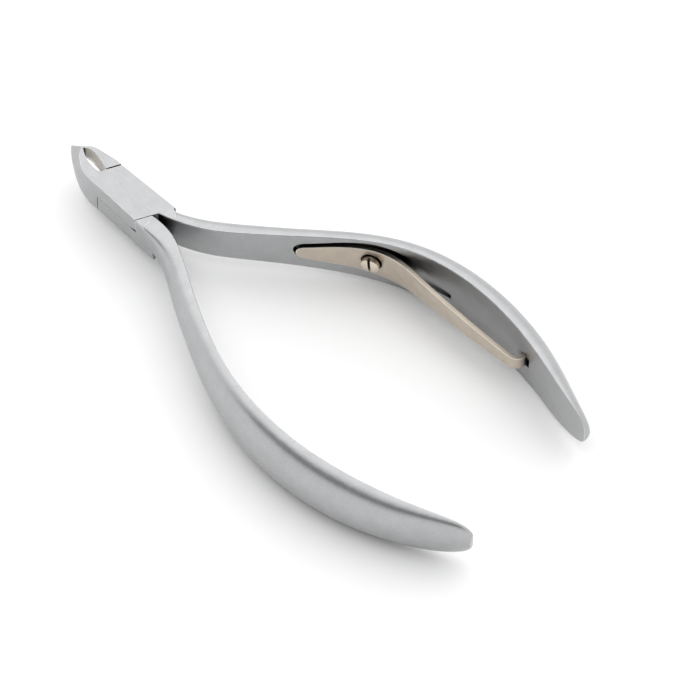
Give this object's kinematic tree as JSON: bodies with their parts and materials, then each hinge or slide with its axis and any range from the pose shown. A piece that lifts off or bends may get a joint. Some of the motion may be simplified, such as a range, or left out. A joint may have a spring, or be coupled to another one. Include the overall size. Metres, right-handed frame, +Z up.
{
  "type": "cuticle nipper",
  "caption": "Steel cuticle nipper with a flush lap joint, pointed hollow-ground jaws, bowed handles and a leaf spring screwed inside one handle.",
  "frame": {"origin": "The centre of the head's flat underside, on the pivot axis. Rest is the closed nipper.", "axes": "+Z is up along the pivot axis, +Y points from the pivot to the jaws along the line midway between the two handles, and +X points to lever A's handle, which carries the leaf spring."},
  "size_m": [0.0489, 0.1001, 0.0122],
  "materials": {
    "lever_steel": "satin",
    "spring_steel": "satin",
    "screw_steel": "satin"
  },
  "bodies": {
    "lever_a_body": {"lever_a": "lever_steel", "pivot_rivet": "lever_steel", "leaf_spring": "spring_steel", "spring_screw": "screw_steel"},
    "lever_b_body": {"lever_b": "lever_steel"}
  },
  "joints": [
    {"name": "pivot", "type": "hinge", "parent": "lever_a_body", "child": "lever_b_body", "pos_m": [0, 0, 0.0035], "axis": [0, 0, -1], "range_deg": [0, 10]}
  ]
}
